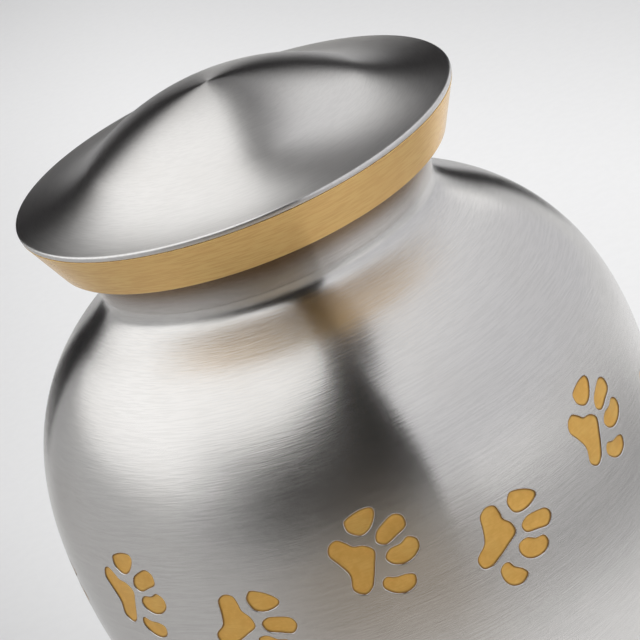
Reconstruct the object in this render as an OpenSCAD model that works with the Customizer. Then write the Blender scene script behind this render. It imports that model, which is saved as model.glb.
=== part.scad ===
// Pet cremation urn: a hollow spun-brass vessel with a lift-off lid.
// The lid is a thin ogee dome soldered on a folded brass band that caps the neck.

/* [Body] */
// Greatest width of the body
body_d = 116; // [96:1:140]
// Height from the waist to the widest ring
taper_h = 100; // [80:1:120]
// Height from the widest ring to where the shoulder's curve would close
shoulder_rise = 51.5; // [42:0.5:62]
// Fullness of the shoulder, where 2 is an ellipse and more is squarer
shoulder_fullness = 2.5; // [2:0.1:3]
// Thickness of the vessel's wall
wall = 1.5; // [0.8:0.1:2.5]
// Thickness of the vessel's floor
floor_t = 3; // [2:0.1:5]

/* [Foot] */
// Width of the narrow waist above the foot
waist_d = 72; // [56:1:90]
// How far the foot flares out beyond the waist
foot_flare = 5; // [2:0.1:10]
// Height of the foot from the ground to the waist
foot_h = 10.3; // [7:0.1:16]
// Height of the foot's straight edge
foot_edge = 2.8; // [1.5:0.1:5]
// Chamfer round the underside
foot_chamfer = 0.6; // [0.2:0.1:1.2]

/* [Neck] */
// Outside width of the neck
neck_d = 65.4; // [52:0.2:80]
// Height of the neck from its root to the mouth's lip
neck_h = 14.5; // [12:0.5:24]
// Height of the neck's root above the line where the shoulder would meet the neck
neck_lift = 4.4; // [3:0.1:8]
// Depth of the fine step at the neck's root
neck_step = 0.3; // [0.1:0.1:0.6]
// Reach of the hollow blend from neck to shoulder
neck_blend = 4.6; // [2:0.1:6]

/* [Lid] */
// How far the lid's rim stands out beyond the neck
lid_overhang = 9.3; // [6:0.1:14]
// Rise of the dome above its rim
lid_rise = 12; // [6:0.5:20]
// Thickness of the dome and of its rim
lid_wall = 1.1; // [0.8:0.1:2]
// How far out the dome turns from crown to dish, as a share of its radius
crown_share = 0.62; // [0.3:0.01:0.8]
// How far the rim's lower edge is turned in
rim_draft = 0.15; // [0:0.05:0.5]

/* [Band] */
// Height of the brass band below the rim
band_h = 8.8; // [5:0.1:11]
// Lean of the band inward from its top to its bottom edge
band_lean = 4.25; // [0:0.05:4.5]
// Thickness of the band's sheet
band_wall = 1.2; // [0.8:0.1:2]
// Depth of the sleeve that drops inside the mouth
sleeve_h = 8; // [4:0.5:12]
// Gap between the sleeve and the inside of the neck
sleeve_gap = 0.35; // [0.2:0.05:0.8]

/* [Hidden] */
$fn = 96;
steps = 28;                                // steps along one long curve of a profile

body_r = body_d / 2;
waist_r = waist_d / 2;
neck_r = neck_d / 2;
root_r = neck_r - neck_step;
belly_h = foot_h + taper_h;                // height of the widest ring
shoulder_meets_neck = belly_h + shoulder_rise
    * pow(1 - pow(neck_r / body_r, shoulder_fullness), 1 / shoulder_fullness);
neck_root_h = shoulder_meets_neck + neck_lift;
root_under_h = neck_root_h - neck_step;    // foot of the fine step
mouth_h = neck_root_h + neck_h;            // the lip that the lid rests on

rim_under_h = mouth_h + band_wall;         // underside of the rim, top of the band
rim_top_h = rim_under_h + lid_wall;
lid_r = neck_r + lid_overhang;
band_top_r = lid_r - rim_draft;
band_foot_r = band_top_r - band_lean;
sleeve_r = neck_r - wall - sleeve_gap;
sleeve_bore_r = sleeve_r - band_wall;

// The dome's top is a convex crown arc that runs on into a concave dish arc.
arcs_r = (lid_r * lid_r + lid_rise * lid_rise) / (2 * lid_rise);
crown_r = arcs_r * crown_share;
dish_r = arcs_r - crown_r;
turn_r = lid_r * crown_share;              // radius at which crown turns into dish

// The larger of a and b, with a round hollow where they cross.
function blend(a, b, reach) =
    max(a, b) + pow(max(reach - abs(a - b), 0), 2) / (4 * reach);

// Radius of the S-shaped taper at height z, from the waist to the widest ring.
function taper_radius(z) =
    waist_r + (body_r - waist_r) * (1 - cos(180 * (z - foot_h) / taper_h)) / 2;

// Radius of the shoulder at height z, before the neck is blended in.
function shoulder_radius(z) =
    let (share = pow((z - belly_h) / shoulder_rise, shoulder_fullness))
    body_r * pow(max(0, 1 - share), 1 / shoulder_fullness);

// Radius of the body from the waist up to the neck's root.
function body_radius(z) =
    z < belly_h ? taper_radius(z) : blend(root_r, shoulder_radius(z), neck_blend);

// Point of the body's outside at height z, moved inward by depth.
function body_point(z, depth) =
    let (dz = 0.01,
         slope = (body_radius(z + dz) - body_radius(z - dz)) / (2 * dz),
         across = sqrt(1 + slope * slope))
    [body_radius(z) - depth / across, z + depth * slope / across];

// Profile of the body above the waist and below the neck's root.
function body_line(depth) = [
    for (i = [1 : steps]) body_point(foot_h + taper_h * i / steps, depth),
    for (i = [1 : 2 * steps - 1])
        body_point(belly_h + (root_under_h - belly_h) * i / (2 * steps), depth)
];

// Profile of the neck up to the given height, moved inward by depth.
function neck_line(depth, top) = [
    [root_r - depth, root_under_h],
    [neck_r - depth, neck_root_h],
    [neck_r - depth, top],
    [0, top]
];

// Profile of the foot, from the middle of the underside up to the waist.
function foot_line() = [
    [0, 0],
    [waist_r + foot_flare - foot_chamfer, 0],
    [waist_r + foot_flare, foot_chamfer],
    for (a = [0 : 10 : 90])
        [waist_r + foot_flare * (1 - sin(a)), foot_edge + (foot_h - foot_edge) * (1 - cos(a))]
];

// Height of the dome's top above the rim at radius r, and its steepness there.
function dome_height(r) =
    r < turn_r
        ? lid_rise - crown_r + sqrt(crown_r * crown_r - r * r)
        : dish_r - sqrt(dish_r * dish_r - (lid_r - r) * (lid_r - r));
function dome_slope(r) =
    r < turn_r
        ? -r / sqrt(crown_r * crown_r - r * r)
        : -(lid_r - r) / sqrt(dish_r * dish_r - (lid_r - r) * (lid_r - r));

module vessel() {
    overshoot = 1;                         // the hollow is cut through the mouth
    color("silver")
    difference() {
        rotate_extrude()
            polygon(concat(foot_line(), body_line(0), neck_line(0, mouth_h)));
        rotate_extrude()
            polygon(concat(
                [[0, floor_t], [waist_r - wall, floor_t], [waist_r - wall, foot_h]],
                body_line(wall),
                neck_line(wall, mouth_h + overshoot)));
    }
}

// Ring of folded sheet: the sloping outer band, a flat seat and the inner sleeve.
module lid_band() {
    lean_at_seat = band_lean * band_wall / band_h;
    color("goldenrod")
    rotate_extrude()
        polygon([
            [sleeve_bore_r, rim_under_h],
            [band_top_r, rim_under_h],
            [band_foot_r, rim_under_h - band_h],
            [band_foot_r - band_wall, rim_under_h - band_h],
            [band_top_r - band_wall - lean_at_seat, mouth_h],
            [sleeve_r, mouth_h],
            [sleeve_r, mouth_h - sleeve_h],
            [sleeve_bore_r, mouth_h - sleeve_h]]);
}

// Thin dome, hollow beneath, with a flat underside where it sits on the band.
module lid_dome() {
    top_line = [for (i = [0 : 2 * steps])
        let (r = lid_r * i / (2 * steps)) [r, rim_top_h + dome_height(r)]];
    under_line = [for (i = [steps : -1 : 0])
        let (r = sleeve_bore_r * i / steps)
        [r, rim_top_h + dome_height(r) - lid_wall * sqrt(1 + pow(dome_slope(r), 2))]];
    color("silver")
    rotate_extrude()
        polygon(concat(
            top_line,
            [[band_top_r, rim_under_h], [sleeve_bore_r, rim_under_h]],
            under_line));
}

vessel();
lid_band();
lid_dome();
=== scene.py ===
"""Brushed metal urn with a domed lid, a brass band and a ring of engraved paw prints."""

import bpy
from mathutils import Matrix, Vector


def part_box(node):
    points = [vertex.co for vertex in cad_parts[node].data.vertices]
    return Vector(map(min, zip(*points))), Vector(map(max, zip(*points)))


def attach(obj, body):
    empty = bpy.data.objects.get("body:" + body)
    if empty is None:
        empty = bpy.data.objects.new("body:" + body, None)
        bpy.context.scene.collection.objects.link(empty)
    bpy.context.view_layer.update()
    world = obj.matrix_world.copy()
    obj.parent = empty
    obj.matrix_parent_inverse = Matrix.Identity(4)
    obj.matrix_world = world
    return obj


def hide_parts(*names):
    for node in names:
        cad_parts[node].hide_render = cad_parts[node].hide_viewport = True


bl_info = {
    "name": "Paw Print Urn",
    "version": (1, 0, 0),
    "blender": (4, 5, 0),
    "location": "View3D > Sidebar > Urn",
    "description": "Builds a brushed metal urn with a brass-banded lid and engraved paw prints",
    "category": "Add Mesh",
}

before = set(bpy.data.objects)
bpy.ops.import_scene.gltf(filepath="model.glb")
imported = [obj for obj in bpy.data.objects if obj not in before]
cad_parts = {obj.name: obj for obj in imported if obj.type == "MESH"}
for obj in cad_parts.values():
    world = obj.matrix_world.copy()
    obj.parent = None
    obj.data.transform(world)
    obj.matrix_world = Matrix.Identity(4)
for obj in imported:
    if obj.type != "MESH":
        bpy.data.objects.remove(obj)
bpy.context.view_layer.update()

import math
from bisect import bisect_left

import bpy
from bpy.props import FloatProperty, FloatVectorProperty, IntProperty, PointerProperty
from mathutils import Matrix, Quaternion, Vector
from mathutils.geometry import delaunay_2d_cdt
from mathutils.kdtree import KDTree

MM = 0.001
VESSEL_LOW, VESSEL_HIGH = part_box("vessel")
DOME_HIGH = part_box("lid_dome")[1]


# ---------------------------------------------------------------- settings

def length(name, description, default):
    """A size in metres that a user can change."""
    return FloatProperty(
        name=name, description=description, default=default, min=0.0,
        precision=5, subtype="DISTANCE", unit="LENGTH")


def angle(name, description, degrees):
    """An angle that a user can change."""
    return FloatProperty(
        name=name, description=description, default=math.radians(degrees),
        subtype="ANGLE", unit="ROTATION")


def colour(name, description, default):
    """A colour that a user can change."""
    return FloatVectorProperty(
        name=name, description=description, default=default, size=3,
        min=0.0, max=1.0, subtype="COLOR")


def share(name, description, default, most=1.0):
    """A plain number between nothing and its most."""
    return FloatProperty(
        name=name, description=description, default=default, min=0.0, max=most)


class VesselSettings(bpy.types.PropertyGroup):
    """Sizes of the urn's body, foot and neck."""
    body_diameter: length("Body Diameter", "Greatest width of the body",
                          VESSEL_HIGH.x - VESSEL_LOW.x)
    mouth_height: length("Mouth Height", "Height of the neck's lip", VESSEL_HIGH.z)
    foot_height: length("Foot Height", "Height of the waist above the ground", 10.3 * MM)
    taper_height: length("Taper Height", "Height from the waist to the widest ring", 100 * MM)
    shoulder_rise: length("Shoulder Rise", "Height in which the shoulder would close", 51.5 * MM)
    shoulder_fullness: share("Shoulder Fullness", "Squareness of the shoulder's curve", 2.5, 4.0)
    waist_diameter: length("Waist Diameter", "Width of the waist above the foot", 72 * MM)
    foot_flare: length("Foot Flare", "How far the foot stands out from the waist", 5 * MM)
    foot_edge: length("Foot Edge", "Height of the foot's straight edge", 2.8 * MM)
    foot_round: length("Foot Round", "Round at the underside's edge", 0.6 * MM)
    neck_diameter: length("Neck Diameter", "Outside width of the neck", 65.4 * MM)
    neck_height: length("Neck Height", "Height of the straight neck", 14.5 * MM)
    neck_step: length("Neck Step", "Depth of the fine step at the neck's root", 0.3 * MM)
    neck_blend: length("Neck Blend", "Reach of the hollow between shoulder and neck", 7 * MM)
    wall: length("Wall", "Thickness of the wall", 1.5 * MM)
    floor: length("Floor", "Thickness of the floor", 3 * MM)


class LidSettings(bpy.types.PropertyGroup):
    """Sizes of the dome and of the band beneath it."""
    rim_radius: length("Rim Radius", "Radius of the dome's rim", DOME_HIGH.x)
    top_height: length("Top Height", "Height of the dome's middle", DOME_HIGH.z)
    rise: length("Rise", "Rise of the dome above its rim", 12 * MM)
    sheet: length("Sheet", "Thickness of the dome and its rim", 1.1 * MM)
    crown_share: share("Crown Share", "How far out the crown turns into the dish", 0.62)
    rim_draft: length("Rim Draft", "How far the rim's lower edge is turned in", 0.15 * MM)
    band_height: length("Band Height", "Height of the sloping band", 8.8 * MM)
    band_lean: length("Band Lean", "Lean of the band from top to bottom", 4.25 * MM)
    band_wall: length("Band Wall", "Thickness of the band's sheet", 1.2 * MM)
    sleeve_radius: length("Sleeve Radius", "Outside radius of the inner sleeve", 30.85 * MM)
    sleeve_height: length("Sleeve Height", "Depth of the sleeve in the mouth", 8 * MM)


class PawSettings(bpy.types.PropertyGroup):
    """Layout and depth of the engraved paw prints."""
    count: IntProperty(name="Count", description="Paw prints round the body",
                       default=14, min=7, max=15)
    tilt: angle("Tilt", "Turn of every second print", -38)
    depth: length("Depth", "Depth of the brass floor below the surface", 0.3 * MM)
    border: length("Border", "Width of the hollow border round the floor", 0.56 * MM)


class FinishSettings(bpy.types.PropertyGroup):
    """Colours and polish of the metals."""
    pewter: colour("Pewter", "Brushed pewter", (0.90, 0.885, 0.865))
    brass: colour("Brass", "Brushed brass of the band", (1.0, 0.62, 0.235))
    engraved: colour("Engraved Brass", "Brass at the foot of the engraving", (1.0, 0.60, 0.165))
    # The colour that darkens the engraved brass where its border meets the cut's side.
    corner_darkening: colour("Corner Darkening", "Dark residue in the engraving's corners", (0.15, 0.065, 0.018))
    roughness: share("Roughness", "Roughness of the brushed metal", 0.235)
    brushing: share("Brushing", "How strongly the brushing stretches highlights", 0.9)
    lacquer: share("Lacquer", "How much of the brass is softened by its satin lacquer", 0.46)


class StageSettings(bpy.types.PropertyGroup):
    """Camera, floor and studio surroundings."""
    camera_place: FloatVectorProperty(
        name="Camera Place", description="Where the camera stands", size=3,
        default=(0.0, -0.4573, 0.3320), subtype="TRANSLATION", unit="LENGTH")
    camera_heading: angle("Camera Heading", "Turn of the view to the right", 0.353)
    camera_drop: angle("Camera Drop", "Angle of the view below the horizon", 22.931)
    camera_roll: angle("Camera Roll", "Lean of the camera", 22.022)
    camera_lens: FloatProperty(name="Camera Lens", description="Focal length in millimetres",
                               default=150.0, min=20.0)
    floor_colour: colour("Floor", "Pale floor", (0.93, 0.93, 0.935))
    surroundings: colour("Surroundings", "White studio walls", (0.99, 0.99, 0.99))


# ---------------------------------------------------------------- profiles

def blend(one, other, reach):
    """The larger of two radii, with a round hollow where they cross."""
    return max(one, other) + max(reach - abs(one - other), 0.0) ** 2 / (4 * reach)


class VesselForm:
    """The outside of the body from the waist up to the neck's root."""

    def __init__(self, sizes):
        self.sizes = sizes
        self.body_radius = sizes.body_diameter / 2
        self.waist_radius = sizes.waist_diameter / 2
        self.neck_radius = sizes.neck_diameter / 2
        self.root_radius = self.neck_radius - sizes.neck_step
        self.belly_height = sizes.foot_height + sizes.taper_height
        self.neck_root = sizes.mouth_height - sizes.neck_height
        self.root_under = self.neck_root - sizes.neck_step
        self.measure()

    def radius(self, height):
        """Radius of the outside at a height."""
        sizes = self.sizes
        if height < self.belly_height:
            turn = math.pi * (height - sizes.foot_height) / sizes.taper_height
            return self.waist_radius + (self.body_radius - self.waist_radius) \
                * (1 - math.cos(turn)) / 2
        fullness = sizes.shoulder_fullness
        climb = ((height - self.belly_height) / sizes.shoulder_rise) ** fullness
        shoulder = self.body_radius * max(0.0, 1 - climb) ** (1 / fullness)
        return blend(self.root_radius, shoulder, sizes.neck_blend)

    def normal(self, height):
        """Outward direction of the surface at a height, as (outward, upward)."""
        step = 0.01 * MM
        slope = (self.radius(height + step) - self.radius(height - step)) / (2 * step)
        return Vector((1.0, -slope)).normalized()

    def measure(self):
        """Walks up the outside and notes how far each height lies from the widest ring."""
        steps = 3000
        self.heights, self.lengths = [], []
        low = self.sizes.foot_height
        walked = 0.0
        before = None
        for step in range(steps + 1):
            height = low + (self.root_under - low) * step / steps
            place = Vector((self.radius(height), height))
            if before is not None:
                walked += (place - before).length
            before = place
            self.heights.append(height)
            self.lengths.append(walked)
        ring = self.between(self.heights, self.lengths, self.belly_height)
        self.lengths = [value - ring for value in self.lengths]

    @staticmethod
    def between(known, wanted, value):
        """Reads one list at the place where another reaches a value."""
        index = min(max(bisect_left(known, value), 1), len(known) - 1)
        part = (value - known[index - 1]) / (known[index] - known[index - 1])
        return wanted[index - 1] + part * (wanted[index] - wanted[index - 1])

    def height_at(self, distance):
        """Height of the point that lies this far above the widest ring along the surface."""
        return self.between(self.lengths, self.heights, distance)

    def lift(self, around, distance, depth):
        """Point and normal of the surface from distances round and up, sunk by a depth."""
        height = self.height_at(distance)
        outward = self.normal(height)
        radius = self.radius(height) - depth * outward.x
        side = facing(around / self.body_radius)
        place = side * radius + UP * (height - depth * outward.y)
        return place, side * outward.x + UP * outward.y


class Mark:
    """One point of a turned profile, with the size of its rounding if it is a corner."""

    def __init__(self, radius, height, rounding=0.0, normal=None):
        self.place = Vector((radius, height))
        self.rounding = rounding
        self.normal = normal


class Row:
    """One ring of a turned shape, with its edge tint and whether it lies inside."""

    def __init__(self, place, normal=None, edge_tint=0.0):
        self.place = place
        self.normal = normal
        self.edge_tint = edge_tint
        self.inside = 0.0


def rounded(marks, closed=False, steps=5):
    """Rows along a profile, with each corner eased by a small curve."""
    rows = []
    for index, mark in enumerate(marks):
        if mark.rounding == 0.0:
            rows.append(Row(mark.place, mark.normal))
            continue
        before = marks[index - 1].place
        after = marks[(index + 1) % len(marks)].place
        start = mark.place + (before - mark.place).normalized() * mark.rounding
        end = mark.place + (after - mark.place).normalized() * mark.rounding
        # Each rounded corner gets an edge tint, which makes the metals paler there: partly wear,
        # partly a painted highlight.
        for step in range(steps + 1):
            part = step / steps
            place = start * (1 - part) ** 2 + mark.place * (2 * part * (1 - part)) \
                + end * part ** 2
            rows.append(Row(place, edge_tint=math.sin(math.pi * part)))
    add_normals(rows, closed)
    return rows


def add_normals(rows, closed):
    """Gives each row the outward direction of its neighbours, the longer one counting more."""
    last = len(rows) - 1
    for index, row in enumerate(rows):
        if row.normal is not None:
            continue
        total = Vector((0.0, 0.0))
        for one, other in ((index - 1, index), (index, index + 1)):
            if not closed and (one < 0 or other > last):
                continue
            along = rows[other % len(rows)].place - rows[one % len(rows)].place
            total += Vector((along.y, -along.x))
        row.normal = total.normalized()


# ---------------------------------------------------------------- meshes

ON_AXIS = 1e-7
UP = Vector((0.0, 0.0, 1.0))


def facing(turn):
    """Unit vector straight out from the axis, a turn round from the front."""
    return Vector((math.sin(turn), -math.cos(turn), 0.0))


class Shell:
    """Collects the points and faces of one mesh."""

    def __init__(self):
        self.points = []
        self.normals = []
        self.edge_tint = []
        self.inside = []
        self.faces = []

    def point(self, place, normal=None, edge_tint=0.0, inside=0.0):
        """Adds a point; one without a normal takes it from its faces."""
        self.points.append(place)
        self.normals.append(normal or Vector((0.0, 0.0, 0.0)))
        self.edge_tint.append(edge_tint)
        self.inside.append(inside)
        return len(self.points) - 1

    def ring(self, row, columns):
        """Adds one ring of points, or a single point on the axis."""
        radius, height = row.place
        if radius < ON_AXIS:
            normal = UP * math.copysign(1.0, row.normal.y)
            return [self.point(UP * height, normal, row.edge_tint, row.inside)]
        numbers = []
        for column in range(columns):
            side = facing(2 * math.pi * column / columns)
            normal = side * row.normal.x + UP * row.normal.y
            place = side * radius + UP * height
            numbers.append(self.point(place, normal, row.edge_tint, row.inside))
        return numbers

    def join(self, lower, upper):
        """Fills the strip between two rings."""
        count = max(len(lower), len(upper))
        for column in range(count):
            after = (column + 1) % count
            if len(lower) == 1:
                self.faces.append((lower[0], upper[after], upper[column]))
            elif len(upper) == 1:
                self.faces.append((lower[column], lower[after], upper[0]))
            else:
                self.faces.append((lower[column], lower[after], upper[after], upper[column]))

    def turn(self, rows, columns, closed=False):
        """Turns a whole profile round the axis."""
        rings = [self.ring(row, columns) for row in rows]
        for lower, upper in zip(rings, rings[1:]):
            self.join(lower, upper)
        if closed:
            self.join(rings[-1], rings[0])

    def build(self, name, material):
        """Makes the object."""
        mesh = bpy.data.meshes.new(name)
        mesh.from_pydata(self.points, [], self.faces)
        if mesh.validate():
            raise RuntimeError(name + " has faulty faces")
        for label, values in (("edge_tint", self.edge_tint), ("inside", self.inside)):
            mesh.attributes.new(label, "FLOAT", "POINT").data.foreach_set("value", values)
        mesh.shade_smooth()
        mesh.normals_split_custom_set_from_vertices(self.normals)
        mesh.materials.append(material)
        piece = bpy.data.objects.new(name, mesh)
        bpy.context.scene.collection.objects.link(piece)
        return piece


# ---------------------------------------------------------------- paw prints

# Outlines of a paw print in millimetres: x runs to the right round the body, y runs up it.
PAW_PAD = (
    (-2.6, 5.4), (-1.2, 4.4), (-0.2, 3.4), (1.6, 2.9), (3.0, 1.4), (2.2, -1.0), (1.2, -3.4),
    (0.2, -5.2), (-1.4, -5.9), (-3.0, -4.4), (-2.6, -1.6), (-3.6, 0.8), (-4.8, 3.0), (-4.2, 4.8))
PAW_TOES = (
    ((0.1, 8.3), (2.8, 9.1), (5.0, 8.9), (5.3, 7.6), (3.8, 5.5), (1.8, 4.7), (0.0, 5.8),
     (-0.4, 7.2)),
    ((5.6, 5.3), (8.0, 6.3), (9.6, 5.4), (9.5, 3.4), (7.4, 2.4), (5.2, 1.6), (3.8, 2.6),
     (4.2, 4.2)),
    ((5.4, 0.7), (7.4, 0.9), (9.0, 1.6), (10.4, 0.6), (10.3, -1.2), (8.6, -2.6), (6.6, -2.9),
     (4.9, -2.1), (4.2, -0.6)),
    ((3.2, -4.0), (4.6, -4.6), (6.6, -4.8), (7.9, -5.6), (7.4, -7.4), (5.6, -8.2), (3.6, -7.6),
     (2.1, -6.0), (2.2, -4.6)))
# The prints that can be seen from the front, every second one tilted:
# degrees round from the front, millimetres above the widest ring.
FRONT_PAWS = ((-88.0, 0.7), (-55.8, 6.8), (-31.7, 1.8), (-6.5, 8.2), (17.05, 1.65), (42.6, 7.0),
              (66.6, -1.5))
# Rises of the prints that stand behind, upright and tilted, in the same millimetres.
UPRIGHT_RISE = 7.3
TILTED_RISE = 1.7


def smooth_loop(corners, steps):
    """A closed curve through every corner, running anticlockwise, in metres."""
    count = len(corners)
    loop = []
    for index in range(count):
        a, b, c, d = (Vector(corners[(index + shift) % count]) * MM for shift in (-1, 0, 1, 2))
        for step in range(steps):
            t = step / steps
            loop.append(0.5 * (2 * b + (c - a) * t + (2 * a - 5 * b + 4 * c - d) * t ** 2
                               + (3 * b - a - 3 * c + d) * t ** 3))
    area = sum(p.x * q.y - q.x * p.y for p, q in zip(loop, loop[1:] + loop[:1]))
    if area < 0:
        loop.reverse()
    return loop


def inset(loop, distance):
    """The loop moved inward all round."""
    moved = []
    for index, place in enumerate(loop):
        along = (loop[(index + 1) % len(loop)] - loop[index - 1]).normalized()
        moved.append(place + Vector((-along.y, along.x)) * distance)
    return moved


def holds(loop, place):
    """True if the place lies inside the loop."""
    found = False
    for p, q in zip(loop, loop[1:] + loop[:1]):
        if (p.y > place.y) != (q.y > place.y):
            if place.x < p.x + (q.x - p.x) * (place.y - p.y) / (q.y - p.y):
                found = not found
    return found


# The triangulation's settings: every triangle out to the hull, and how near is the same place.
ALL_TRIANGLES = 0
SAME_PLACE = 1e-9


def triangulate(places, edges):
    """Triangles over the places that keep the given edges, all anticlockwise."""
    _, _, triangles, owners, _, _ = delaunay_2d_cdt(places, edges, [], ALL_TRIANGLES, SAME_PLACE)
    if any(len(owner) == 0 for owner in owners):
        raise RuntimeError("two outlines cross")
    faces = []
    for face in triangles:
        a, b, c = (owners[corner][0] for corner in face)
        if (places[b] - places[a]).cross(places[c] - places[a]) < 0:
            a, b, c = a, c, b
        faces.append((a, b, c))
    return faces


def loop_edges(start, count):
    """Edges of a closed loop of numbered points."""
    return [(start + index, start + (index + 1) % count) for index in range(count)]


def search_tree(places):
    """A tree that finds the nearest of the places."""
    tree = KDTree(len(places))
    for index, place in enumerate(places):
        tree.insert(place.to_3d(), index)
    tree.balance()
    return tree


def centre(places, face):
    """The middle of a triangle of numbered places."""
    return (places[face[0]] + places[face[1]] + places[face[2]]) / 3


def filled(loop, spacing):
    """The places and triangles of a flat area inside a loop."""
    places = list(loop)
    keep_off = search_tree(loop)
    low_x, high_x = min(p.x for p in loop), max(p.x for p in loop)
    low_y, high_y = min(p.y for p in loop), max(p.y for p in loop)
    for row in range(int((high_y - low_y) / spacing) + 1):
        for column in range(int((high_x - low_x) / spacing) + 1):
            shift = 0.5 * (row % 2)
            place = Vector((low_x + (column + shift) * spacing, low_y + row * spacing))
            if keep_off.find(place.to_3d())[2] > 0.5 * spacing and holds(loop, place):
                places.append(place)
    triangles = [face for face in triangulate(places, loop_edges(0, len(loop)))
                 if max(face) >= len(loop) or holds(loop, centre(places, face))]
    return places, triangles


# How far the cut's soft edge reaches beyond the drawn outline, and how finely it is made.
EDGE_REACH = 0.14 * MM
CORNER_STEPS = 5
FLOOR_SPACING = 1.1 * MM


class Blob:
    """One outline of the paw print, with the floors that every print shares."""

    def __init__(self, corners):
        self.loop = inset(smooth_loop(corners, CORNER_STEPS), -EDGE_REACH)
        self.floors = {}

    def floor(self, distance):
        """Places and triangles of the floor inside an inset outline."""
        if distance not in self.floors:
            self.floors[distance] = filled(inset(self.loop, distance), FLOOR_SPACING)
        return self.floors[distance]


class Print:
    """Where one paw print lies on the body."""

    def __init__(self, degrees, rise, turn, form):
        self.around = math.radians(degrees) * form.body_radius
        self.rise = rise
        self.rotation = Matrix.Rotation(turn, 2)

    def lay(self, place):
        """Distances round and up the body for a place on the print."""
        turned = self.rotation @ place
        return Vector((self.around + turned.x, self.rise + turned.y))


def all_prints(paws, form):
    """The prints on the front and the rest, evenly spaced behind."""
    spots = list(FRONT_PAWS)
    start = FRONT_PAWS[-1][0]
    rest = paws.count - len(FRONT_PAWS)
    step = (360 + FRONT_PAWS[0][0] - start) / (rest + 1)
    for index in range(rest):
        rise = TILTED_RISE if index % 2 else UPRIGHT_RISE
        spots.append((start + step * (index + 1), rise))
    return [Print(degrees, rise * MM, 0.0 if index % 2 else paws.tilt, form)
            for index, (degrees, rise) in enumerate(spots)]


PAW_BLOBS = [Blob(corners) for corners in (PAW_PAD,) + PAW_TOES]
# Steps down into the cut in the pewter, as distance in from its edge, depth and edge tint.
CUT_STEPS = ((0.06 * MM, 0.010 * MM, 0.0), (0.12 * MM, 0.035 * MM, 0.0),
             (0.17 * MM, 0.085 * MM, 0.0), (0.18 * MM, 0.5 * MM, 0.0))
# How near the belt's own points may come to an outline, as a share of their spacing.
BELT_CLEARANCE = 0.45


class Engraver:
    """Cuts the paw prints out of a belt of the body's surface."""

    def __init__(self, shell, form, rows, rings, columns):
        self.shell = shell
        self.form = form
        self.rows = rows
        self.columns = columns
        self.pitch = 2 * math.pi * form.body_radius / columns
        self.known = {}
        for row, ring in ((0, rings[0]), (len(rows) - 1, rings[1])):
            for column, number in enumerate(ring):
                self.known[row, column] = number

    def node(self, row, column):
        """The numbered point where a row and a column of the belt cross."""
        key = (row, column % self.columns)
        if key not in self.known:
            place, normal = self.form.lift(key[1] * self.pitch, self.rows[row], 0.0)
            self.known[key] = self.shell.point(place, normal)
        return self.known[key]

    def cut(self, print_, first, last):
        """Fills the belt between two columns, leaving a recess for each outline."""
        loops = [[print_.lay(place) for place in blob.loop] for blob in PAW_BLOBS]
        places, owners, edges, spans = [], [], [], []
        for loop in loops:
            start = len(places)
            spans.append((start, start + len(loop)))
            places += loop
            owners += [self.shell.point(*self.form.lift(*place, 0.0)) for place in loop]
            edges += loop_edges(start, len(loop))
        keep_off = search_tree(places)
        for row, rise in enumerate(self.rows):
            for column in range(first, last + 1):
                place = Vector((column * self.pitch, rise))
                border = row in (0, len(self.rows) - 1) or column in (first, last)
                clear = keep_off.find(place.to_3d())[2] > BELT_CLEARANCE * self.pitch
                if border or (clear and not any(holds(loop, place) for loop in loops)):
                    places.append(place)
                    owners.append(self.node(row, column))
        for face in triangulate(places, edges):
            middle = centre(places, face)
            hole = any(min(face) >= start and max(face) < stop and holds(loop, middle)
                       for (start, stop), loop in zip(spans, loops))
            if not hole:
                self.shell.faces.append(tuple(owners[corner] for corner in face))
        for blob, (start, stop) in zip(PAW_BLOBS, spans):
            rim = owners[start:stop]
            bottom = add_steps(self.shell, self.form, print_, blob, CUT_STEPS, rim)
            add_floor(self.shell, self.form, print_, blob, *CUT_STEPS[-1][:2], bottom)

    def belt(self, prints):
        """Cuts every print, each in its own sector of the belt."""
        ends = []
        for print_ in prints:
            spots = [print_.lay(place).x for blob in PAW_BLOBS for place in blob.loop]
            ends.append((min(spots), max(spots)))
        turn = self.columns * self.pitch
        borders = []
        for index in range(len(prints)):
            following = ends[index + 1][0] if index + 1 < len(prints) else ends[0][0] + turn
            borders.append(round((ends[index][1] + following) / 2 / self.pitch))
        for index, print_ in enumerate(prints):
            first = borders[index - 1] - (self.columns if index == 0 else 0)
            self.cut(print_, first, borders[index])


def add_steps(shell, form, print_, blob, steps, ring=None):
    """Adds the sides that follow one outline through steps; returns the last ring."""
    for distance, depth, edge_tint in steps:
        following = [shell.point(form.lift(*print_.lay(place), depth)[0], edge_tint=edge_tint)
                     for place in inset(blob.loop, distance)]
        if ring is not None:
            shell.join(ring, following)
        ring = following
    return ring


def add_floor(shell, form, print_, blob, distance, depth, ring, upward=True, exact=False):
    """Closes a ring with a floor that follows the body's curve.

    exact gives its points the body's own normals, and not those of its triangles."""
    places, triangles = blob.floor(distance)
    numbers = list(ring)
    for place in places[len(ring):]:
        point, normal = form.lift(*print_.lay(place), depth)
        numbers.append(shell.point(point, normal if exact else None))
    for a, b, c in triangles:
        face = (numbers[a], numbers[b], numbers[c])
        shell.faces.append(face if upward else face[::-1])


# ---------------------------------------------------------------- materials

# Turn of the stretched highlights, as a part of a whole turn, so that they cross the brushing.
QUARTER_TURN = 0.25
# Shades that turn a metal's own tone into its cloudy tone, its duller inside darkened by painted
# shade, and the brown painted shade under the band.
CLOUDY = (0.93, 0.92, 0.90)
UNPOLISHED_AND_SHADED = (0.50, 0.43, 0.35)
SHADED_UNDER_BAND = (0.33, 0.235, 0.155)
# Shades that turn the engraved brass into its darker and paler spots.
DARKER = (0.92, 0.87, 0.76)
PALER = (1.06, 1.08, 1.20)
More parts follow.
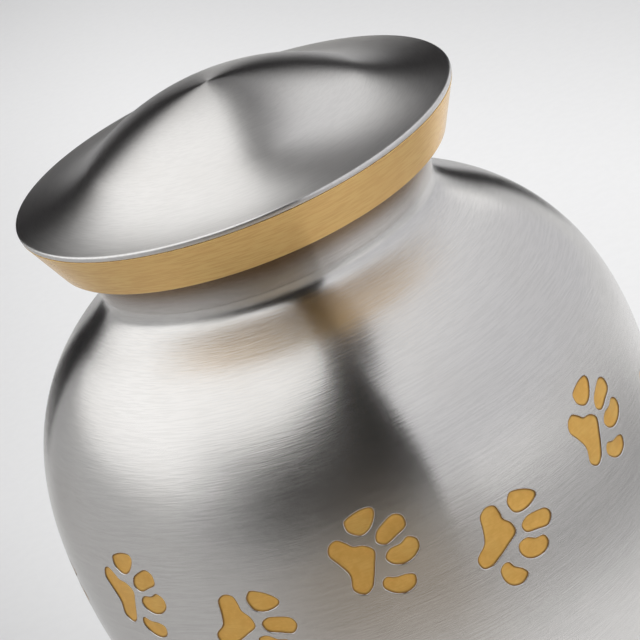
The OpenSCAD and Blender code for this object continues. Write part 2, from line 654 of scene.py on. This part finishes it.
# How much of the engraved brass shines as bare metal; the rest is its dull skin.
ENGRAVED_METAL = 0.62
# How far grain darkens and brightens a metal.
GRAIN_DARK = 0.04
GRAIN_PALE = 0.025
# How far brush marks, clouds and wear each move the roughness, and what the inside adds.
ROUGHNESS_DRIFT = 0.01
INSIDE_ROUGHNESS = 0.15
# How far the painted shade under the band fades at its lower edge, and how strong it starts above
# it.
BAND_SHADE_EDGE = 0.2 * MM
BAND_SHADE_START = 0.2
# Depths of brush marks, of the sheet's faint waves and of the engraving's pits.
MARK_DEPTH = 0.03 * MM
WAVE_DEPTH = 0.04 * MM
PIT_DEPTH = 0.02 * MM
# Colour of the floor paper under its full painted shade.
SHADED_PAPER = (0.16, 0.16, 0.165)


def tinted(tone, shades):
    """A tone with each part multiplied by its shade, and never brighter than white."""
    return tuple(min(1.0, part * shade) for part, shade in zip(tone, shades))


class NodeSheet:
    """A material's node tree, filled one node at a time."""

    def __init__(self, name):
        self.material = bpy.data.materials.new(name)
        self.material.use_nodes = True
        self.tree = self.material.node_tree
        self.tree.nodes.clear()

    def add(self, kind, inputs=(), **properties):
        """Adds a node; inputs maps socket names or numbers to values or other sockets."""
        node = self.tree.nodes.new(kind)
        count = len(self.tree.nodes) - 1
        node.location = (220 * (count % 9), -320 * (count // 9))
        for name, value in properties.items():
            setattr(node, name, value)
        for name, value in dict(inputs).items():
            if isinstance(value, bpy.types.NodeSocket):
                self.tree.links.new(value, node.inputs[name])
            else:
                node.inputs[name].default_value = value
        return node

    def math(self, operation, *values):
        """A number worked out from others."""
        return self.add("ShaderNodeMath", enumerate(values), operation=operation).outputs[0]

    def times(self, one, other):
        """Two numbers multiplied."""
        return self.math("MULTIPLY", one, other)

    def total(self, first, *others):
        """Several numbers added up."""
        for other in others:
            first = self.math("ADD", first, other)
        return first

    def vector(self, operation, *values):
        """A vector worked out from others, or a vector's length."""
        node = self.add("ShaderNodeVectorMath", enumerate(values), operation=operation)
        return node.outputs["Value" if operation == "LENGTH" else "Vector"]

    def spread(self, value, low, high, to_low=0.0, to_high=1.0):
        """A value stretched from one range to another."""
        inputs = {"Value": value, "From Min": low, "From Max": high,
                  "To Min": to_low, "To Max": to_high}
        return self.add("ShaderNodeMapRange", inputs, interpolation_type="SMOOTHSTEP").outputs[0]

    def mix(self, part, one, other):
        """A colour between two others."""
        node = self.add("ShaderNodeMix", data_type="RGBA")
        for name, value in (("Factor_Float", part), ("A_Color", one), ("B_Color", other)):
            socket = next(item for item in node.inputs if item.identifier == name)
            if isinstance(value, bpy.types.NodeSocket):
                self.tree.links.new(value, socket)
            elif name == "Factor_Float":
                socket.default_value = value
            else:
                socket.default_value = (*value, 1.0)
        return next(item for item in node.outputs if item.identifier == "Result_Color")

    def attribute(self, name):
        """A number that the mesh carries at each point."""
        return self.add("ShaderNodeAttribute", attribute_name=name).outputs["Fac"]

    def noise(self, vector, scale, detail=2.0, roughness=0.5, turn=None):
        """Soft noise, four-dimensional when a fourth coordinate is given."""
        inputs = {"Vector": vector, "Scale": scale, "Detail": detail, "Roughness": roughness}
        if turn is None:
            return self.add("ShaderNodeTexNoise", inputs).outputs["Fac"]
        inputs["W"] = turn
        return self.add("ShaderNodeTexNoise", inputs, noise_dimensions="4D").outputs["Fac"]

    def metal(self, reliefs, sockets):
        """Ends the sheet as a metal whose brushing runs round the axis.

        reliefs are pairs of a height's socket and the depth that it is worth, in metres."""
        for height, depth in reliefs:
            inputs = {"Height": height, "Strength": 1.0, "Distance": depth}
            if "Normal" in sockets:
                inputs["Normal"] = sockets["Normal"]
            sockets["Normal"] = self.add("ShaderNodeBump", inputs).outputs[0]
        tangent = self.add("ShaderNodeTangent", direction_type="RADIAL", axis="Z")
        sockets["Tangent"] = tangent.outputs[0]
        sockets["Anisotropic Rotation"] = QUARTER_TURN
        return self.finish(self.add("ShaderNodeBsdfPrincipled", sockets).outputs[0])

    def finish(self, surface):
        """Sends the surface to the output and returns the material."""
        self.add("ShaderNodeOutputMaterial", {"Surface": surface})
        return self.material


class Brush:
    """Coordinates that run round the axis and across the brushing."""

    def __init__(self, sheet):
        self.sheet = sheet
        self.place = sheet.add("ShaderNodeTexCoord").outputs["Object"]
        flat = sheet.vector("MULTIPLY", self.place, (1.0, 1.0, 0.0))
        self.radius = sheet.vector("LENGTH", flat)
        self.side = sheet.vector("NORMALIZE", flat)
        self.height = sheet.add("ShaderNodeSeparateXYZ", {0: self.place}).outputs["Z"]

    def streaks(self, turns, thickness, detail=2.0):
        """Long thin marks round the axis: turns sets their length, thickness their width."""
        sheet = self.sheet
        across = 1.0 / thickness
        rise = sheet.add("ShaderNodeCombineXYZ", {"Z": sheet.times(self.height, across)})
        round_ = sheet.vector("MULTIPLY", self.side, (turns, turns, 0.0))
        where = sheet.vector("ADD", round_, rise.outputs[0])
        return sheet.noise(where, 1.0, detail, 0.6, sheet.times(self.radius, across))


def brushed_metal(name, tone, finish, grain=1.0, satin=0.0, soften=0.0, band_shade=None):
    """Metal brushed round the axis, with uneven tone, edges brightened by wear and painted
    highlight, and a duller inside darkened by painted shade.

    grain strengthens the brush marks, satin is the part that lacquer dulls, and soften is
    added to the roughness. band_shade, given as two heights, paints brown shade on the metal
    above the lower one, at full strength from the upper one."""
    sheet = NodeSheet(name)
    brush = Brush(sheet)
    fine = brush.streaks(11.0, 0.24 * MM, 1.0)
    long = brush.streaks(6.0, 0.6 * MM)
    clouds = sheet.noise(brush.place, 42.0, 3.0, 0.55)
    dark = tinted(tone, [1 - GRAIN_DARK * grain] * 3)
    pale = tinted(tone, [1 + GRAIN_PALE * grain] * 3)
    colour_ = sheet.mix(sheet.spread(long, 0.3, 0.7), dark, tone)
    colour_ = sheet.mix(sheet.spread(fine, 0.4, 0.62), colour_, pale)
    colour_ = sheet.mix(sheet.spread(fine, 0.5, 0.34, 0.0, 0.8), colour_, dark)
    colour_ = sheet.mix(sheet.spread(clouds, 0.45, 0.8, 0.0, 0.5), colour_, tinted(tone, CLOUDY))
    # Rounded edges turn paler in patches: partly wear, partly a painted highlight.
    patches = sheet.noise(brush.place, 900.0, 3.0, 0.6)
    worn_and_highlit = sheet.times(sheet.attribute("edge_tint"), sheet.spread(patches, 0.3, 0.6))
    colour_ = sheet.mix(worn_and_highlit, colour_, tuple(min(1.0, 1.12 * part + 0.02) for part in tone))
    # The inside is rougher and darker: an unpolished finish with painted shade on it.
    inside = sheet.attribute("inside")
    colour_ = sheet.mix(inside, colour_, tinted(tone, UNPOLISHED_AND_SHADED))
    # Brown painted shade on the neck beneath the band.
    if band_shade:
        edge = sheet.spread(brush.height, band_shade[0] - BAND_SHADE_EDGE, band_shade[0])
        depth = sheet.spread(brush.height, band_shade[0], band_shade[1], BAND_SHADE_START, 1.0)
        colour_ = sheet.mix(sheet.times(edge, depth), colour_, tinted(tone, SHADED_UNDER_BAND))
    base = finish.roughness + soften
    drift = ROUGHNESS_DRIFT
    rough = sheet.total(
        sheet.spread(fine, 0.2, 0.8, base - drift, base + drift),
        sheet.spread(clouds, 0.3, 0.7, -drift, drift),
        sheet.times(worn_and_highlit, drift), sheet.times(inside, INSIDE_ROUGHNESS))
    marks = sheet.total(sheet.times(fine, 0.6), sheet.times(long, 0.45))
    waves = sheet.noise(brush.place, 70.0, 1.0, 0.4)
    return sheet.metal(((marks, MARK_DEPTH), (waves, WAVE_DEPTH)), {
        "Base Color": colour_, "Roughness": rough, "Metallic": 1.0 - satin,
        "Anisotropic": finish.brushing})


def engraved_brass(name, finish):
    """Mottled brass at the foot of an engraving, darker where it meets the cut."""
    sheet = NodeSheet(name)
    brush = Brush(sheet)
    tone = finish.engraved
    mottle = sheet.noise(brush.place, 800.0, 4.0, 0.65)
    clouds = sheet.noise(brush.place, 180.0, 2.0, 0.5)
    scratches = brush.streaks(30.0, 0.22 * MM)
    darker = tinted(tone, DARKER)
    colour_ = sheet.mix(sheet.spread(mottle, 0.35, 0.68), darker, tone)
    colour_ = sheet.mix(sheet.spread(clouds, 0.4, 0.7, 0.0, 0.6), colour_, tinted(tone, PALER))
    colour_ = sheet.mix(sheet.spread(scratches, 0.4, 0.7, 0.0, 0.8), colour_, darker)
    # The brass turns darker and rougher in patches where its hollow border meets the cut's side.
    corner_darkening = sheet.times(sheet.attribute("edge_tint"), sheet.spread(mottle, 0.2, 0.6, 0.7, 1.0))
    colour_ = sheet.mix(corner_darkening, colour_, finish.corner_darkening)
    rough = sheet.total(sheet.spread(mottle, 0.3, 0.7, 0.36, 0.46), sheet.times(corner_darkening, 0.2))
    pits = sheet.total(mottle, sheet.times(scratches, 0.5))
    return sheet.metal(((pits, PIT_DEPTH),), {
        "Base Color": colour_, "Roughness": rough, "Metallic": ENGRAVED_METAL,
        "Anisotropic": 0.5})


def floor_material(stage):
    """Plain pale paper with painted shade that greys it a little in front, far off and to the
    left.
    """
    sheet = NodeSheet("floor_paper")
    place = sheet.add("ShaderNodeTexCoord").outputs["Object"]
    parts = sheet.add("ShaderNodeSeparateXYZ", {0: place})
    across, along = parts.outputs["X"], parts.outputs["Y"]
    # Places are in metres, and each last number is how far that part's painted shade greys the
    # paper.
    slant = sheet.total(along, sheet.times(across, 1.5))
    far = sheet.spread(slant, 0.48, 0.95, 0.0, 0.38)
    left = sheet.spread(across, 0.0, -0.17, 0.0, 0.27)
    near = sheet.spread(slant, 0.15, -0.15, 0.0, 0.35)
    shade = sheet.total(sheet.math("MAXIMUM", far, near), left)
    tooth = sheet.spread(sheet.noise(place, 300.0, 2.0), 0.4, 0.6)
    tone = stage.floor_colour
    colour_ = sheet.mix(tooth, tone, tinted(tone, (0.99, 0.99, 0.99)))
    colour_ = sheet.mix(shade, colour_, SHADED_PAPER)
    return sheet.finish(sheet.add("ShaderNodeBsdfDiffuse", {"Color": colour_}).outputs[0])


def card_material(name, light):
    """An evenly lit card that thins out where its cover fades."""
    sheet = NodeSheet(name)
    glow = sheet.add("ShaderNodeEmission", {"Color": (*light, 1.0), "Strength": 1.0})
    clear = sheet.add("ShaderNodeBsdfTransparent")
    both = sheet.add("ShaderNodeMixShader", {
        0: sheet.attribute("cover"), 1: clear.outputs[0], 2: glow.outputs[0]})
    sheet.material.cycles.emission_sampling = "NONE"
    return sheet.finish(both.outputs[0])


# ---------------------------------------------------------------- stage

def ease(value):
    """A number held between nothing and one, with soft ends."""
    value = min(max(value, 0.0), 1.0)
    return value * value * (3 - 2 * value)


def rising(value, start, reach):
    """Grows from nothing at a start to one at a reach beyond it."""
    return ease((value - start) / reach)


def falling(value, end, reach):
    """Falls to nothing at an end from one at a reach before it."""
    return ease((end - value) / reach)


def steps_between(low, high, step):
    """Evenly spaced values from low to high."""
    count = max(1, round((high - low) / step))
    return [low + (high - low) * index / count for index in range(count + 1)]


def direction(azimuth, elevation):
    """Unit vector from degrees round from the front and degrees above the horizon."""
    turn, climb = math.radians(azimuth), math.radians(elevation)
    return Vector((math.sin(turn) * math.cos(climb), -math.cos(turn) * math.cos(climb),
                   math.sin(climb)))


def add_card(name, light, across, up, place, cover):
    """A studio card that only shows in reflections, thinned out where its cover fades.

    across and up are the grid's ranges, as lowest, highest and step. place and cover take
    one value of each range."""
    across, up = steps_between(*across), steps_between(*up)
    points = [place(other, one) for one in up for other in across]
    values = [cover(other, one) for one in up for other in across]
    faces = []
    width = len(across)
    for row in range(len(up) - 1):
        for column in range(width - 1):
            corner = row * width + column
            faces.append((corner, corner + 1, corner + width + 1, corner + width))
    mesh = bpy.data.meshes.new(name)
    mesh.from_pydata(points, [], faces)
    mesh.attributes.new("cover", "FLOAT", "POINT").data.foreach_set("value", values)
    mesh.materials.append(card_material(name + "_card", light))
    card = bpy.data.objects.new(name, mesh)
    bpy.context.scene.collection.objects.link(card)
    for ray in ("camera", "diffuse", "shadow", "transmission"):
        setattr(card, "visible_" + ray, False)


# The cards stand round this point.
MIDDLE = Vector((0.0, 0.0, 0.13))
# How far the cards that reach the table stay above it.
CARD_CLEARANCE = 3 * MM
# Distances of the side light and of the overhead arch from the middle.
SIDE_REACH = 0.8
ARCH_REACH = 1.95


def on_sphere(radius):
    """Places a card's point round the urn, bent along the floor where it would go below."""
    def place(azimuth, elevation):
        ray = direction(azimuth, elevation)
        reach = radius
        if ray.z < 0:
            reach = min(radius, (MIDDLE.z - CARD_CLEARANCE) / -ray.z)
        return MIDDLE + ray * reach
    return place


def on_table(height):
    """Places a card's point level above the table."""
    return lambda across, along: Vector((across, along, height))


def overhead(across, along):
    """Places a card's point on the arch overhead, by degrees aside and degrees along it."""
    turn = math.radians(along)
    ray = Vector((math.tan(math.radians(across)), -math.cos(turn), math.sin(turn)))
    return MIDDLE + ray.normalized() * ARCH_REACH


def on_right(along, up):
    """Places a card's point on an upright wall to the right."""
    return MIDDLE + Vector((SIDE_REACH, along, up))


# Covers run from nothing to one. Azimuth counts degrees to the right from the front, and
# elevation degrees above the horizon; other lengths are in metres.

def front_flag(azimuth, elevation):
    """The dark gap in front, where the studio is unlit; it climbs towards the right."""
    top = 36 + 30 * min(max((azimuth + 45) / 45, 0.0), 1.4) ** 2
    return falling(elevation, top + 7, 14) * rising(azimuth, -84, 58) * rising(elevation, -22, 22)


def top_flag(across, along):
    """The dark gap overhead, between the two soft lights."""
    side = rising(across, 0, 7) * falling(across, 18, 3)
    gap = 1 - 0.2 * falling(abs(along - 98), 24, 16)
    return side * gap * rising(along, 50, 15) * falling(along, 172, 12)


def left_shade(azimuth, elevation):
    """Painted shade on the left wall, seen only in reflections, growing darker towards the table.
    """
    side = rising(azimuth, -180, 30) * falling(azimuth, -40, 40)
    back = 0.12 * falling(azimuth, -120, 25)
    return side * (0.08 + back) * falling(elevation, 40, 48) * rising(elevation, -22, 10)


def side_light(along, up):
    """The cooler soft light that stands upright on the right."""
    edge = rising(along, -2.75 * SIDE_REACH, 0.12) * falling(along, 1.55 * SIDE_REACH, 0.35)
    return edge * falling(up, 3.5 * SIDE_REACH, 0.2) * (1 - 0.4 * rising(up, 0, 1.6))


def back_flag(azimuth, elevation):
    """The dark band behind, open at the foot where the pale floor shows."""
    side = rising(azimuth, 150, 7) * falling(azimuth, 216, 7)
    upper = falling(elevation, 44, 20) * rising(elevation, -15, 5)
    beside = rising(abs(azimuth - 180), 15.5, 4)
    return side * upper * max(beside, rising(elevation, 1, 6))


def table_shade(across, along):
    """A painted shade on the table round the urn, seen only in reflections and thin behind it."""
    reach = math.hypot(across, along)
    behind = 1 - 0.9 * rising(along, 0.05, 0.2) * rising(across, -0.3, 0.2)
    return behind * falling(reach, 1.5, 0.4) * rising(reach, 0.07, 0.12)


def front_shade(across, along):
    """Painted shade on the table in front, seen only in reflections."""
    middle = falling(abs(across + 0.03), 0.3, 0.25) * falling(along, -0.05, 0.2)
    return table_shade(across, along) * (0.08 + 0.66 * middle)


def right_shade(across, along):
    """Painted shade on the table on the right, seen only in reflections."""
    near = falling(math.hypot(across, along), 0.7, 0.6)
    return 0.75 * table_shade(across, along) * near * rising(across, 0.03, 0.12)


# Each card's light, ranges in degrees or metres, place and cover, which also names it.
CARDS = (
    ((0.06, 0.055, 0.05), (-180, -40, 2), (-22, 40, 2), on_sphere(1.8), left_shade),
    ((0.54, 0.54, 0.56), (-2.75 * SIDE_REACH, 1.6 * SIDE_REACH, 0.05),
     (CARD_CLEARANCE - MIDDLE.z, 3.75 * SIDE_REACH, 0.05), on_right, side_light),
    ((0.016, 0.015, 0.014), (-84, 21, 1), (-28, 84, 2), on_sphere(1.9), front_flag),
    ((0.02, 0.018, 0.02), (0, 18, 1), (50, 172, 2), overhead, top_flag),
    ((0.014, 0.013, 0.014), (150, 216, 1), (-15, 44, 1), on_sphere(1.75), back_flag),
    ((0.20, 0.145, 0.08), (-1.5, 1.5, 0.05), (-1.5, 1.5, 0.05), on_table(1.5 * MM), front_shade),
    ((0.07, 0.07, 0.075), (-1.5, 1.5, 0.05), (-1.5, 1.5, 0.05), on_table(3 * MM), right_shade),
)
# The floor lies flat to the first radius and then curves up by the second.
FLAT_FLOOR = 4.0
FLOOR_CURVE = 1.5
FLOOR_STEPS = 8
FLOOR_COLUMNS = 96
# The camera's sensor in millimetres, and the nearest that it sees in metres.
SENSOR_WIDTH = 36.0
NEAREST_SEEN = 0.01


def add_studio_floor(stage_settings):
    """A wide pale floor that curves up at its far edge."""
    shell = Shell()
    marks = [Mark(0.0, 0.0, normal=Vector((0.0, 1.0)))]
    marks += [Mark(radius, 0.0) for radius in (0.5, 2.0, FLAT_FLOOR)]
    for step in range(1, FLOOR_STEPS + 1):
        turn = math.pi / 2 * step / FLOOR_STEPS
        marks.append(Mark(FLAT_FLOOR + FLOOR_CURVE * math.sin(turn),
                          FLOOR_CURVE * (1 - math.cos(turn))))
    rows = rounded(marks)
    for row in rows:
        row.normal = Vector((0.0, 1.0)) if row.place.y == 0.0 else -row.normal
    rings = [shell.ring(row, FLOOR_COLUMNS) for row in rows]
    for lower, upper in zip(rings, rings[1:]):
        shell.join(upper, lower)
    floor = shell.build("studio_floor", floor_material(stage_settings))


class URN_OT_stage(bpy.types.Operator):
    """Sets up the camera, the pale floor and the studio cards"""
    bl_idname = "urn.stage"
    bl_label = "Stage"

    def execute(self, context):
        scene = context.scene
        settings = scene.urn_stage
        scene.view_settings.view_transform = "Standard"
        camera = bpy.data.objects.new("camera", bpy.data.cameras.new("camera"))
        scene.collection.objects.link(camera)
        camera.data.lens = settings.camera_lens
        camera.data.sensor_width = SENSOR_WIDTH
        camera.data.clip_start = NEAREST_SEEN
        camera.location = settings.camera_place
        view = direction(180 - math.degrees(settings.camera_heading),
                         -math.degrees(settings.camera_drop))
        level = view.to_track_quat("-Z", "Y")
        camera.rotation_mode = "QUATERNION"
        camera.rotation_quaternion = level @ Quaternion(UP, -settings.camera_roll)
        scene.camera = camera
        world = bpy.data.worlds.new("studio")
        world.use_nodes = True
        world.node_tree.nodes["Background"].inputs[0].default_value = (*settings.surroundings, 1.0)
        world.cycles.sampling_method = "NONE"
        scene.world = world
        add_studio_floor(settings)
        for light, across, up, place, cover in CARDS:
            add_card(cover.__name__, light, across, up, place, cover)
        return {"FINISHED"}


# ---------------------------------------------------------------- pieces

VESSEL_COLUMNS = 280
LID_COLUMNS = 256
# The engraved belt's limits above the widest ring, and the spacings below, in and above it.
BELT_LOW, BELT_HIGH = -13 * MM, 20 * MM
BELOW_SPACING, BELT_SPACING, ABOVE_SPACING = 1.5 * MM, 1.32 * MM, 1.0 * MM
COVE_STEPS = 15
FOOT_TOP_ROUND = 0.35 * MM
ROOT_ROUND = 0.2 * MM
LIP_ROUND = 0.3 * MM
INNER_FLOOR_ROUND = 1.0 * MM
# How far apart the vessel's inner rows are, counted in outer rows.
INNER_STRIDE = 3
# How far up the neck the brown painted shade under the band reaches full strength.
BAND_SHADE_REACH = 5.0 * MM
# How far a brass floor's closed underside lies below its face.
BRASS_THICKNESS = 0.12 * MM
# Steps of the dome's underside and of its outside, from the middle to the edge.
UNDER_STEPS, TOP_STEPS = 30, 70
RIM_UNDER_ROUND, RIM_TOP_ROUND = 0.45 * MM, 0.5 * MM


def foot_marks(form):
    """The underside, the foot's straight edge and the cove that leads up to the waist."""
    sizes = form.sizes
    foot_radius = form.waist_radius + sizes.foot_flare
    marks = [Mark(0.0, 0.0, normal=Vector((0.0, -1.0)))]
    marks += [Mark(foot_radius * part, 0.0) for part in (0.3, 0.6, 0.9)]
    marks.append(Mark(foot_radius, 0.0, sizes.foot_round))
    marks.append(Mark(foot_radius, sizes.foot_edge, FOOT_TOP_ROUND))
    cove = sizes.foot_height - sizes.foot_edge
    for step in range(1, COVE_STEPS):
        turn = math.pi / 2 * step / COVE_STEPS
        marks.append(Mark(form.waist_radius + sizes.foot_flare * (1 - math.sin(turn)),
                          sizes.foot_edge + cove * (1 - math.cos(turn))))
    return marks


def wall_marks(form, belt):
    """The outside from the waist to the neck's root, with the belt's own rows in it."""
    rises = steps_between(form.lengths[0], BELT_LOW, BELOW_SPACING) + belt[1:]
    rises += steps_between(BELT_HIGH, form.lengths[-1], ABOVE_SPACING)[1:]
    heights = [form.height_at(rise) for rise in rises]
    marks = [Mark(form.radius(height), height, normal=form.normal(height)) for height in heights]
    marks[-1].normal = None
    return marks


def neck_marks(form):
    """Up the neck's outside, over its lip and down its bore."""
    sizes = form.sizes
    outside, bore = form.neck_radius, form.neck_radius - sizes.wall

    def neck(radius, *parts):
        return [Mark(radius, form.neck_root + sizes.neck_height * part) for part in parts]
    lip = [Mark(radius, sizes.mouth_height, LIP_ROUND) for radius in (outside, bore)]
    root = Mark(outside, form.neck_root, ROOT_ROUND)
    return [root] + neck(outside, 0.15, 0.4, 0.7) + lip + neck(bore, 0.6, 0.3, 0.0)


def inner_marks(form, outer):
    """Down the inside, a wall's thickness from the outside, and over the inner floor."""
    sizes = form.sizes
    marks = []
    for mark in outer[-2::-INNER_STRIDE]:
        if mark.place.y > sizes.foot_height + 1 * MM:
            outward = form.normal(mark.place.y)
            marks.append(Mark(mark.place.x - sizes.wall * outward.x,
                              mark.place.y - sizes.wall * outward.y, normal=-outward))
    inner_radius = form.waist_radius - sizes.wall
    marks.append(Mark(inner_radius, sizes.foot_height))
    marks.append(Mark(inner_radius, sizes.floor, INNER_FLOOR_ROUND))
    marks += [Mark(inner_radius * part, sizes.floor) for part in (0.75, 0.4)]
    return marks + [Mark(0.0, sizes.floor, normal=Vector((0.0, 1.0)))]


def vessel_rows(form):
    """All rows of the vessel's profile, which two of them bound the belt, and its rises."""
    belt = steps_between(BELT_LOW, BELT_HIGH, BELT_SPACING)
    outer = wall_marks(form, belt)
    rows = rounded(foot_marks(form) + outer + neck_marks(form) + inner_marks(form, outer))

    def outer_row(rise):
        height = form.height_at(rise)
        return min(range(len(rows)),
                   key=lambda i: abs(rows[i].place.y - height) + (rows[i].normal.x < 0))
    first, last = outer_row(BELT_LOW), outer_row(BELT_HIGH)
    top = form.sizes.mouth_height - 0.01 * MM
    lip = next(i for i in range(last, len(rows)) if rows[i].place.y >= top)
    bore = form.neck_radius - form.sizes.wall
    for row in rows[lip:]:
        row.inside = 0.0 if row.place.x > bore + 0.2 * MM else 1.0
    return rows, first, last, belt


class URN_OT_vessel(bpy.types.Operator):
    """Turns the hollow vessel and cuts the recesses for its paw prints"""
    bl_idname = "urn.vessel"
    bl_label = "Vessel"

    def execute(self, context):
        scene = context.scene
        form = VesselForm(scene.urn_vessel)
        rows, first, last, belt = vessel_rows(form)
        shell = Shell()
        rings = {}
        for index, row in enumerate(rows):
            if not first < index < last:
                rings[index] = shell.ring(row, VESSEL_COLUMNS)
        for index in range(len(rows) - 1):
            if not first <= index < last:
                shell.join(rings[index], rings[index + 1])
        engraver = Engraver(shell, form, belt, (rings[first], rings[last]), VESSEL_COLUMNS)
        engraver.belt(all_prints(scene.urn_paws, form))
        finish = scene.urn_finish
        # Heights of the brown painted shade on the neck beneath the band.
        band_shade = (form.neck_root, form.neck_root + BAND_SHADE_REACH)
        material = brushed_metal("brushed_pewter", finish.pewter, finish, band_shade=band_shade)
        piece = shell.build("vessel_shell", material)
        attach(piece, "root")
        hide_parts("vessel")
        return {"FINISHED"}


class URN_OT_paw_prints(bpy.types.Operator):
    """Lays the brass floors of the engraved paw prints"""
    bl_idname = "urn.paw_prints"
    bl_label = "Paw Prints"

    def execute(self, context):
        scene = context.scene
        paws = scene.urn_paws
        form = VesselForm(scene.urn_vessel)
        material = engraved_brass("engraved_brass", scene.urn_finish)
        border, depth = paws.border, paws.depth
        under = depth + BRASS_THICKNESS
        # Distance in from the cut's edge, depth and edge tint: a straight side, then a hollow
        # border. The edge tint darkens the brass where the border meets the side.
        sides = ((0.185 * MM, under, 0.0), (0.185 * MM, 0.10 * MM, 1.0),
                 (0.24 * MM, 0.5 * depth, 0.9), (0.36 * MM, 0.8 * depth, 0.5),
                 (border, depth, 0.0))
        for number, print_ in enumerate(all_prints(paws, form), 1):
            shell = Shell()
            for blob in PAW_BLOBS:
                start = len(shell.points)
                last = add_steps(shell, form, print_, blob, sides)
                add_floor(shell, form, print_, blob, border, depth, last, exact=True)
                first = list(range(start, start + len(blob.loop)))
                add_floor(shell, form, print_, blob, sides[0][0], under, first, upward=False)
            piece = shell.build(f"paw_print_{number:02d}", material)
            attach(piece, "root")
        return {"FINISHED"}


class URN_OT_lid_band(bpy.types.Operator):
    """Turns the folded brass band with its seat and sleeve"""
    bl_idname = "urn.lid_band"
    bl_label = "Lid Band"

    def execute(self, context):
        scene = context.scene
        lid = scene.urn_lid
        top = lid.top_height - lid.rise - lid.sheet
        seat = top - lid.band_wall
        outer = lid.rim_radius - lid.rim_draft
        foot = outer - lid.band_lean
        low = top - lid.band_height
        bore = lid.sleeve_radius - lid.band_wall
        hem = seat - lid.sleeve_height
        lean = lid.band_lean * lid.band_wall / lid.band_height
        # Each corner's radius, height and rounding, the last in millimetres.
        corners = (
            (bore, hem, 0.3), (lid.sleeve_radius, hem, 0.3), (lid.sleeve_radius, seat, 0.15),
            (outer - lid.band_wall - lean, seat, 0.15), (foot - lid.band_wall, low, 0.35),
            (foot, low, 0.3), (outer, top, 0.14), (bore, top, 0.1))
        marks = [Mark(radius, height, rounding * MM) for radius, height, rounding in corners]
        shell = Shell()
        shell.turn(rounded(marks, closed=True), LID_COLUMNS, closed=True)
        finish = scene.urn_finish
        material = brushed_metal("brushed_brass", finish.brass, finish, grain=3.4,
                                 satin=finish.lacquer)
        piece = shell.build("brass_band", material)
        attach(piece, "root")
        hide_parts("lid_band")
        return {"FINISHED"}


class URN_OT_lid_dome(bpy.types.Operator):
    """Turns the thin dome with its crown, dish and rim"""
    bl_idname = "urn.lid_dome"
    bl_label = "Lid Dome"

    def execute(self, context):
        scene = context.scene
        lid = scene.urn_lid
        reach, rise = lid.rim_radius, lid.rise
        rim_top = lid.top_height - rise
        rim_under = rim_top - lid.sheet
        arcs = (reach ** 2 + rise ** 2) / (2 * rise)
        crown = arcs * lid.crown_share
        dish = arcs - crown
        turn = reach * lid.crown_share

        def surface(radius):
            """Height above the rim and slope, on the crown inside the turn or the dish."""
            if radius < turn:
                fall = math.sqrt(crown ** 2 - radius ** 2)
                return rise - crown + fall, -radius / fall
            fall = math.sqrt(dish ** 2 - (reach - radius) ** 2)
            return dish - fall, -(reach - radius) / fall

        bore = lid.sleeve_radius - lid.band_wall
        marks = []
        for step in range(UNDER_STEPS + 1):
            radius = bore * step / UNDER_STEPS
            height, slope = surface(radius)
            marks.append(Mark(radius, rim_top + height - lid.sheet * math.hypot(1, slope),
                              normal=Vector((slope, -1.0)).normalized()))
        marks[-1].normal = None
        marks.append(Mark(bore, rim_under))
        marks.append(Mark(reach - lid.rim_draft, rim_under, RIM_UNDER_ROUND))
        marks.append(Mark(reach, rim_top, RIM_TOP_ROUND))
        for step in range(TOP_STEPS - 1, -1, -1):
            radius = reach * step / TOP_STEPS
            height, slope = surface(radius)
            marks.append(Mark(radius, rim_top + height, normal=Vector((-slope, 1.0)).normalized()))
        rows = rounded(marks)
        for row in rows[:UNDER_STEPS + 1]:
            row.inside = 1.0
        shell = Shell()
        shell.turn(rows, LID_COLUMNS)
        finish = scene.urn_finish
        material = brushed_metal("spun_pewter", finish.pewter, finish, grain=0.8, soften=0.06)
        piece = shell.build("domed_lid", material)
        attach(piece, "root")
        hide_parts("lid_dome")
        return {"FINISHED"}


class URN_PT_sidebar(bpy.types.Panel):
    """Lists the urn's pieces and sizes in the sidebar"""
    bl_idname = "URN_PT_sidebar"
    bl_label = "Paw Print Urn"
    bl_space_type = "VIEW_3D"
    bl_region_type = "UI"
    bl_category = "Urn"

    def draw(self, context):
        for label, name, _, operators in PANEL_PARTS:
            box = self.layout.box()
            box.label(text=label)
            group = getattr(context.scene, name)
            for item in group.bl_rna.properties:
                if item.identifier not in ("rna_type", "name"):
                    box.prop(group, item.identifier)
            for operator in operators:
                box.operator(operator.bl_idname)


# The panel's boxes: label, name on the scene, settings and operators.
PANEL_PARTS = (
    ("Stage", "urn_stage", StageSettings, (URN_OT_stage,)),
    ("Vessel", "urn_vessel", VesselSettings, (URN_OT_vessel,)),
    ("Paw prints", "urn_paws", PawSettings, (URN_OT_paw_prints,)),
    ("Lid", "urn_lid", LidSettings, (URN_OT_lid_band, URN_OT_lid_dome)),
    ("Finish", "urn_finish", FinishSettings, ()),
)


def register():
    """Adds the settings, the operators and the panel to Blender."""
    for _, name, settings, operators in PANEL_PARTS:
        for part in (settings, *operators):
            bpy.utils.register_class(part)
        setattr(bpy.types.Scene, name, PointerProperty(type=settings))
    bpy.utils.register_class(URN_PT_sidebar)


def unregister():
    """Takes the panel, the operators and the settings away again."""
    bpy.utils.unregister_class(URN_PT_sidebar)
    for _, name, settings, operators in reversed(PANEL_PARTS):
        delattr(bpy.types.Scene, name)
        for part in (*operators, settings):
            bpy.utils.unregister_class(part)


def main():
    """Builds the urn and its stage."""
    register()
    bpy.ops.urn.stage()
    bpy.ops.urn.vessel()
    bpy.ops.urn.paw_prints()
    bpy.ops.urn.lid_band()
    bpy.ops.urn.lid_dome()


if __name__ == "__main__":
    main()
